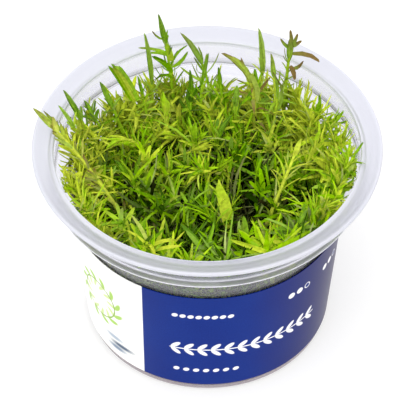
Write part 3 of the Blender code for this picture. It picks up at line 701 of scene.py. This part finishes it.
class Growth:
    """Leaves and stems gathered for one piece, and made into one mesh at the end."""

    def __init__(self):
        self.leaves = []
        self.stems = []

    def leaf(self, root, axis, curl, normal, width, twist, fold, young, tone, brown, pale):
        """A leaf whose midrib runs through root + t * axis + t² * curl, for t from 0 to 1.

        Young is 0 for an open leaf with a blunt tip and 1 for a tapering one in a bud.
        """
        self.leaves.append((*root, *axis, *curl, *normal, width, twist, fold, young, tone, brown, pale))

    def stem(self, line, radii, tone, brown):
        """A stem along a line of points, with its radius at each."""
        self.stems.append((line, radii, tone, brown))

    def mesh(self, over_rim):
        """All of it as one mesh, kept inside the cup or laid over its rim."""
        leaves, stems = leaf_arrays(self.leaves), stem_arrays(self.stems)
        count = len(leaves[0])
        points, growth = (np.concatenate((leaves[k], stems[k])) for k in (0, 3))
        quads, tris = (np.concatenate((leaves[k], stems[k] + count)) for k in (1, 2))
        return mesh_from_arrays(keep_in_cup(points, over_rim), quads, tris, growth)


def unit(vectors):
    """Each row scaled to a length of 1."""
    return vectors / np.maximum(np.linalg.norm(vectors, axis=-1, keepdims=True), 1e-9)


def leaf_arrays(leaves):
    """Points, quads, triangles and growth colours of many leaves.

    A section has four points: left edge, groove above the midrib, right edge, and keel below it.
    """
    data = np.array(leaves, float)
    root, axis, curl, normal = (data[:, None, k : k + 3] for k in (0, 3, 6, 9))
    width, twist, fold, young, tone, brown, pale = data[:, 12:].T
    along = LEAF_STATIONS[None, :, None]
    centre = root + along * axis + along**2 * curl
    heading = unit(axis + 2.0 * along * curl)
    side = np.cross(normal, axis)
    across = unit(side - heading * np.sum(side * heading, -1, keepdims=True))
    above = np.cross(heading, across)
    turn = (twist[:, None] * LEAF_STATIONS)[..., None]
    across, above = (
        across * np.cos(turn) + above * np.sin(turn),
        above * np.cos(turn) - across * np.sin(turn),
    )
    shape = BLUNT_SHAPE + young[:, None] * (BUD_SHAPE - BLUNT_SHAPE)
    half = 0.5 * width[:, None, None] * shape[..., None]
    lift = half * np.sin(fold)[:, None, None]
    reach = half * np.cos(fold)[:, None, None]
    thick = LEAF_THICK * (0.35 + 0.65 * shape[..., None])
    left = centre + across * reach + above * lift
    right = centre - across * reach + above * lift
    groove = centre + above * 0.5 * thick
    keel = centre - above * 0.5 * thick
    stations = len(LEAF_STATIONS)
    rings = np.stack((left, groove, right, keel), 2)[:, :-1]
    tips = centre[:, -1:]
    per_leaf = 4 * (stations - 1) + 1
    points = np.concatenate((rings.reshape(len(data), -1, 3), tips), 1)
    quads = []
    for k in range(stations - 2):
        for j in range(4):
            beside = 4 * k + (j + 1) % 4
            quads.append((4 * k + j, beside, beside + 4, 4 * k + 4 + j))
    quads.append((3, 2, 1, 0))
    last = 4 * (stations - 2)
    tris = [(last + j, last + (j + 1) % 4, per_leaf - 1) for j in range(4)]
    quads, tris = (for_each(faces, len(data), per_leaf) for faces in (quads, tris))
    growth = np.ones((len(data), per_leaf, 4))
    share = np.append(np.repeat(LEAF_STATIONS[:-1], 4), 1.0)[None]
    # a leaf is lightest at its foot, goes brown from its tip, and has a pale keel
    growth[..., 0] = tone[:, None] + 0.25 * (1.0 - share) - 0.1
    growth[..., 1] = np.clip(brown[:, None] * (brown[:, None] ** 5 + BROWN_TIP * share**2), 0, 1)
    rib = np.tile((0.0, 0.0, 0.0, 0.06), stations - 1)
    growth[..., 2] = np.append(rib, 0.0)[None] + pale[:, None]
    return points.reshape(-1, 3), quads, tris, growth.reshape(-1, 4)


def stem_arrays(stems):
    """Points, quads, triangles and growth colours of many stems, each a closed tube."""
    lines, radii, tones, browns = (np.array(part) for part in zip(*stems))
    heading = unit(np.gradient(lines, axis=1))
    side = unit(np.cross(heading, np.array(SKEW)))
    other = np.cross(heading, side)
    here = np.arange(STEM_SIDES)
    angles = (here * math.tau / STEM_SIDES)[:, None]
    wave = np.cos(angles) * side[:, :, None] + np.sin(angles) * other[:, :, None]
    points = lines[:, :, None] + wave * radii[:, :, None, None]
    beside = (here + 1) % STEM_SIDES
    base = np.arange(STEM_JOINTS)[:, None] * STEM_SIDES
    above = base + STEM_SIDES
    quads = np.stack((base + here, base + beside, above + beside, above + here), 2).reshape(-1, 4)
    top = STEM_JOINTS * STEM_SIDES
    tris = []
    for k in range(1, STEM_SIDES - 1):
        tris += [(0, k + 1, k), (top, top + k, top + k + 1)]
    per_stem = top + STEM_SIDES
    growth = np.repeat([(*looks, 0.1, 1.0) for looks in zip(tones, browns)], per_stem, 0)
    quads, tris = (for_each(faces, len(stems), per_stem) for faces in (quads, tris))
    return points.reshape(-1, 3), quads, tris, growth


def for_each(faces, count, points):
    """The faces of one leaf or stem again for each of many, whose points follow on."""
    shift = (np.arange(count) * points)[:, None, None]
    return (np.array(faces)[None] + shift).reshape(-1, len(faces[0]))


def keep_in_cup(points, over_rim):
    """Leaves that reach the cup press against it: they stay inside, or those above the rim lie over it."""
    radius = np.hypot(points[:, 0], points[:, 1])
    height = points[:, 2]
    wall = wall_radius(height) - SKIN - 0.15
    room = np.where(height < LEDGE_TOP + 0.3, wall, RIM_INNER_RADIUS - 0.7)
    over = (height > RIM_INNER_HEIGHT - 2.0) & (radius > RIM_INNER_RADIUS - 0.5) & over_rim
    slope = (RIM_HEIGHT - RIM_INNER_HEIGHT) / (RIM_RADIUS - RIM_INNER_RADIUS)
    deck = RIM_INNER_HEIGHT + slope * (radius - RIM_INNER_RADIUS) + 0.25
    height = np.where(over, np.maximum(height, deck), height)
    inside = (height < RIM_HEIGHT + (0.0 if over_rim else 20.0)) & ~over
    past = np.maximum(radius - room + PRESSED, 0.0)
    pressed = room - PRESSED * np.exp(-past / PRESSED)
    pull = np.where(inside & (past > 0.0), pressed / np.maximum(radius, 1e-6), 1.0)
    return np.stack((points[:, 0] * pull, points[:, 1] * pull, height), 1)


def bezier(curve, share):
    """A place along a stem, whose curve has a foot, a knee and a tip."""
    foot, knee, tip = curve
    return foot.lerp(knee, share).lerp(knee.lerp(tip, share), share)


def bezier_heading(curve, share):
    """Which way a stem grows there, and how fast."""
    foot, knee, tip = curve
    return (knee - foot).lerp(tip - knee, share)


def off_stem(along, angle):
    """The direction square to a stem, at an angle round it."""
    side = along.cross(Vector(SKEW)).normalized()
    return math.cos(angle) * side + math.sin(angle) * along.cross(side)


def grow_shoot(growth, draw, shoot, foot, spacing):
    """One shoot: its stem, whorls that draw closer towards the tip, and a closed bud of young leaves."""
    curve = Vector(foot), Vector(shoot.knee), Vector(shoot.tip)
    steps = [bezier(curve, k / CURVE_STEPS) for k in range(CURVE_STEPS + 1)]
    whole = sum((b - a).length for a, b in zip(steps, steps[1:]))
    end = max(0.3, 1.0 - shoot.bud / whole)
    line = [tuple(bezier(curve, end * k / STEM_JOINTS)) for k in range(STEM_JOINTS + 1)]
    thick = 0.3 + 0.14 * shoot.girth
    radii = [thick * (1.0 - STEM_TAPER * k / STEM_JOINTS) for k in range(STEM_JOINTS + 1)]
    growth.stem(line, radii, min(1.0, shoot.tone + 0.35), 0.2 * shoot.brown**3)
    share = FIRST_WHORL / whole
    turn = draw.uniform(0.0, math.tau)
    lift = draw.uniform(0.3, 1.0)
    broad = 0.65 + 0.95 * draw.random() ** 2
    bow = draw.uniform(-1.7, 1.1)
    while share < end:
        near_tip = max(0.0, 1.0 - (end - share) * whole / YOUNG_LENGTH)
        spot = bezier(curve, share)
        turn += draw.uniform(0.4, 1.0)
        rise = lift + 0.5 * near_tip
        along = bezier_heading(curve, share).normalized()
        size = shoot.leaf * (1.0 - 0.3 * near_tip)
        grow_whorl(growth, draw, shoot, spot, along, turn, rise, size, broad, bow)
        share += spacing * (1.0 - 0.4 * near_tip) * draw.uniform(0.8, 1.2) / whole
    grow_bud(growth, draw, shoot, curve, end)


def grow_whorl(growth, draw, shoot, spot, along, turn, rise, size, broad, bow):
    """Open leaves all round the stem, alike in how they rise and bow."""
    count = shoot.full + draw.choice((-1, 0, 0, 1))
    # painted shade: leaves deep in the mass are darker, less so near the wall, where light also comes in
    # through it
    shade = 0.1 - 0.06 * (spot.xy.length / TANGLE_RADIUS) ** 4
    for k in range(count):
        out = off_stem(along, turn + k * math.tau / count + draw.uniform(-0.5, 0.5))
        lift = rise + draw.uniform(-0.3, 0.3)
        length = size * draw.uniform(0.6, 1.2)
        axis = out * math.cos(lift) + along * math.sin(lift)
        normal = along * math.cos(lift) - out * math.sin(lift)
        axis, normal = turn_from_wall(spot, axis, normal, length)
        across = normal.cross(axis)
        curl = (bow + draw.uniform(-0.5, 0.5)) * normal + draw.uniform(-1.1, 1.1) * across
        growth.leaf(
            root=spot + out * 0.3,
            axis=length * axis,
            curl=0.5 * length * curl,
            normal=normal,
            width=broad * draw.uniform(0.75, 1.25),
            twist=draw.uniform(-0.7, 0.7),
            fold=draw.uniform(0.15, 0.7),
            young=draw.uniform(0.0, 0.5),
            # the tone is darkened below the shade height, as painted shade
            tone=shoot.tone + draw.uniform(-0.15, 0.4) - shade * max(0.0, SHADE_HEIGHT - spot.z),
            brown=shoot.brown * draw.uniform(0.5, 1.0),
            pale=shoot.pale * draw.uniform(0.4, 1.2) + 0.8 * draw.random() ** 12,
        )


def turn_from_wall(spot, axis, normal, length):
    """A leaf that would meet the cup's wall grows up along it instead, flat against it."""
    outward = Vector((spot.x, spot.y, 0.0)).normalized()
    room = max(0.0, wall_radius(spot.z) - SKIN - 0.6 - spot.xy.length) / length
    past = axis.dot(outward) - room
    if past < 0.0 or spot.z > LEDGE_TOP:
        return axis, normal
    turned = (axis - past * outward + Vector((0.0, 0.0, past))).normalized()
    return turned, (outward.dot(turned) * turned - outward).normalized()


def grow_bud(growth, draw, shoot, curve, end):
    """The closed bud: young leaves that follow the last stretch of the shoot and wrap each other."""
    foot, knee, tip = curve
    spot = bezier(curve, end)
    start = 2.0 * (1.0 - end) * bezier_heading(curve, end)
    bend = (1.0 - end) ** 2 * (foot - 2.0 * knee + tip)
    blunt = shoot.name == BLUNT_BUD
    for k in range(BUD_LEAVES):
        out = off_stem(start.normalized(), BUD_TURN * k + draw.uniform(-0.3, 0.3))
        width = min(0.85 * shoot.girth, BUD_LEAF_WIDTH) * draw.uniform(0.9, 1.1)
        # a leaf's middle stands a quarter of this off the bud's centre line
        open_by = 3.0 * (shoot.girth - width) + 0.3 * shoot.girth * draw.uniform(0.5, 1.5)
        reach = 1.03 if k < 2 else draw.uniform(0.7, 0.96)
        growth.leaf(
            root=spot + out * 0.2,
            axis=reach * start + open_by * out,
            curl=reach**2 * bend - (0.85 if blunt else 1.05) * open_by * out,
            normal=-out,
            width=width,
            twist=draw.uniform(-0.2, 0.2),
            fold=draw.uniform(0.5, 0.9),
            young=draw.uniform(0.0, 0.4) if blunt else draw.uniform(0.7, 1.0),
            tone=shoot.tone + draw.uniform(-0.12, 0.12),
            brown=shoot.brown * draw.uniform(0.6, 1.0),
            pale=shoot.pale * draw.uniform(0.6, 1.2),
        )


def grow_lone_leaf(growth, draw, root, middle, tip, *looks):
    """A leaf through three points."""
    root, middle, tip = Vector(root), Vector(middle), Vector(tip)
    curl = 2.0 * (root + tip) - 4.0 * middle
    axis = tip - root - curl
    width, *colours = looks
    normal = axis.cross(TOWARDS_VIEWER).cross(axis).normalized()
    growth.leaf(root, axis, curl, normal, width, draw.uniform(-0.4, 0.4), 0.4, 0.3, *colours)


def make_sprigs(leaf):
    """The sprigs of the frame, each with the single leaves that belong to it."""
    for sprig in SPRIGS:
        node = "sprig_" + sprig.name
        draw = random.Random(node)
        growth = Growth()
        x, y = sprig.foot
        grow_shoot(growth, draw, sprig, (x, y, tangle_height(x, y) - SPRIG_FOOT), SPRIG_SPACING)
        for place_and_looks in LONE_LEAVES.get(sprig.name, ()):
            grow_lone_leaf(growth, draw, *place_and_looks)
        new_piece("shoot_" + sprig.name, growth.mesh(True), leaf, "leaf", node)


def tangle_height(x, y):
    """The height of the mass without its leaf tips: a low, lumpy dome."""
    share = math.hypot(x, y) / TANGLE_RADIUS
    dome = TANGLE_MIDDLE + (TANGLE_EDGE - TANGLE_MIDDLE) * share**2
    return dome + LUMP * noise.noise(Vector((0.13 * x, 0.13 * y, 0.5)))


def distance_to_line(spot, start, end):
    """How far a spot is from the stretch between two points, in plan."""
    spot, start, end = Vector(spot), Vector(start), Vector(end)
    span = end - start
    share = max(0.0, min(1.0, (spot - start).dot(span) / span.length_squared))
    return (spot - start - share * span).length


def make_tangle(leaf):
    """The dense mass: short shoots on a sunflower pattern that lean, arch and cross each other."""
    draw = random.Random("tangle")
    parts = [Growth() for _ in TANGLE_PARTS]
    for k in range(TANGLE_SHOOTS):
        reach = TANGLE_RADIUS * ((k + 0.5) / TANGLE_SHOOTS) ** CROWDING
        angle = k * GOLDEN_ANGLE
        x, y = reach * math.cos(angle), reach * math.sin(angle)
        top = tangle_height(x, y)
        lean = draw.uniform(0.0, math.tau)
        far = draw.uniform(1.0, 16.0)
        rear = max(0.0, y / TANGLE_RADIUS)
        sideways = x / TANGLE_RADIUS
        tip_z = top + draw.uniform(2.0, 11.0 + 4.0 * rear) - 0.25 * far
        if reach > OUTER_SHARE * TANGLE_RADIUS and k % 3:
            # most of the outermost shoots lean out over the ledge
            lean = angle + draw.uniform(-0.9, 0.9)
            far = draw.uniform(4.0, 9.0)
            tip_z = top + draw.uniform(9.0, 15.0 - 5.0 * rear) + 4.5 * abs(sideways)
        if any(distance_to_line((x, y), *ends) < CLEARING_WIDTH for ends in CLEARINGS):
            tip_z = top - CLEARING_DEPTH
        tip_x, tip_y = x + far * math.cos(lean), y + far * math.sin(lean)
        # over the ledge the cup is wider
        limit = OVER_LEDGE_RADIUS if tip_z > LEDGE_TOP + 1.0 else TANGLE_RADIUS
        pull = min(1.0, limit / math.hypot(tip_x, tip_y))
        tip_x *= pull
        tip_y *= pull
        shoot = Shoot(
            name="",
            foot=(x, y),
            knee=(x + 0.2 * (tip_x - x), y + 0.2 * (tip_y - y), tip_z - 2.0),
            tip=(tip_x, tip_y, tip_z),
            leaf=draw.uniform(*LEAF_LENGTHS),
            bud=draw.uniform(*BUD_LENGTHS),
            girth=draw.uniform(*BUD_GIRTHS),
            # painted light: the tone rises towards the back and the sides, standing in for light that
            # comes in through the cup's wall
            tone=draw.uniform(0.05, 0.7) + 1.0 * rear + sideways * (0.6 * sideways - 0.13),
            brown=max(0.0, draw.uniform(-0.9, 0.35)),
            pale=max(0.0, draw.uniform(-0.7, 0.25)),
            full=TANGLE_FULL,
        )
        quarter = int(math.atan2(x, -y) % math.tau / (math.pi / 2))
        foot = (x, y, top - draw.uniform(*TANGLE_FEET))
        grow_shoot(parts[quarter], draw, shoot, foot, TANGLE_SPACING)
    for growth, side in zip(parts, TANGLE_PARTS):
        new_piece("tangle_" + side, growth.mesh(False), leaf, "leaf", "tangle")


def make_undergrowth(material):
    """What shows in the gaps: the lumpy body of old stems and leaves, from the gel up, near black as
    painted shade.
    """
    low = GEL_TOP + GEL_GAP
    wide = TANGLE_RADIUS - 1.0
    profile = [(0.0, low), (18.0, low)]
    profile += [(wall_radius(z) - SKIN - 1.0, z) for z in (low, 14.0, 20.0, 28.0, 34.0)]
    for k in range(UNDERGROWTH_RINGS, -1, -1):
        profile.append((wide * (k / UNDERGROWTH_RINGS) ** 0.8, UNDERGROWTH_TOP))
    mesh = revolve(profile, False)
    for vert in mesh.vertices:
        if vert.co.z > 0.9 * UNDERGROWTH_TOP * MM:
            place = vert.co / MM
            rough = noise.noise(0.22 * place) + 0.6 * noise.noise(0.6 * place)
            edge = min(1.0, (TANGLE_RADIUS - place.xy.length) / 6.0)
            vert.co.z += UNDERGROWTH_LUMP * rough * max(0.0, edge) * MM
    new_piece("tangle_body", mesh, material, "leaf", "tangle")


def make_stage(white):
    """The floor of the studio."""
    mesh = bpy.data.meshes.new("sweep")
    half = SWEEP_HALF * MM
    corners = [(-half, -half, 0.0), (half, -half, 0.0), (half, half, 0.0), (-half, half, 0.0)]
    mesh.from_pydata(corners, [], [(0, 1, 2, 3)])
    mesh.materials.append(white)
    floor = new_object("sweep", mesh)


def aim(name, data, place, look):
    """A lamp or camera at a place, in metres, turned the way it looks."""
    thing = new_object(name, data)
    thing.location = place
    thing.rotation_euler = look.to_track_quat("-Z", "Y").to_euler()
    return thing


def area_light(name, place, target, size, power, colour):
    """A round lamp, turned to a target. Places and sizes are in metres."""
    light = bpy.data.lights.new(name, "AREA")
    light.shape = "DISK"
    light.size = size
    light.energy = power
    light.color = linear(colour)[:3]
    aim(name, light, place, Vector(target) - Vector(place))


def make_lights():
    """A white tent with one broad lamp from the front and above, and a weaker one from the right."""
    world = bpy.data.worlds.new("tent")
    world.use_nodes = True
    tent = world.node_tree.nodes["Background"]
    tent.inputs["Color"].default_value = linear("#ffffff")
    tent.inputs["Strength"].default_value = 1.05
    bpy.context.scene.world = world
    area_light("key", (-0.15, -0.45, 0.88), (0.0, 0.0, 0.05), 1.0, 4.4, "#fffdf8")
    area_light("fill", (0.6, -0.5, 0.6), (0.0, 0.0, 0.04), 0.6, 0.4, "#f4f2ff")
    bpy.context.scene.view_settings.view_transform = "Standard"


def make_camera():
    """The photograph's view of the cup."""
    camera = bpy.data.cameras.new("camera")
    camera.lens = LENS
    camera.sensor_width = SENSOR
    camera.clip_start = 0.05
    camera.clip_end = 20.0
    look = Vector((0.0, math.cos(VIEW_ELEVATION), -math.sin(VIEW_ELEVATION)))
    bpy.context.scene.camera = aim("camera", camera, VIEW_TARGET - VIEW_DISTANCE * look, look)


def main():
    """The view, the light and every piece."""
    make_camera()
    make_lights()
    make_stage(make_material("white sweep", studio_white))
    leaf = make_material("rotala leaf", rotala_leaf)
    make_cup(make_material("frosted polypropylene", frosted_polypropylene))
    make_label(make_material("printed paper", printed_paper))
    make_gel(make_material("nutrient gel", nutrient_gel))
    make_undergrowth(make_material("shaded old growth", painted_shade_old_growth))
    make_tangle(leaf)
    make_sprigs(leaf)


main()
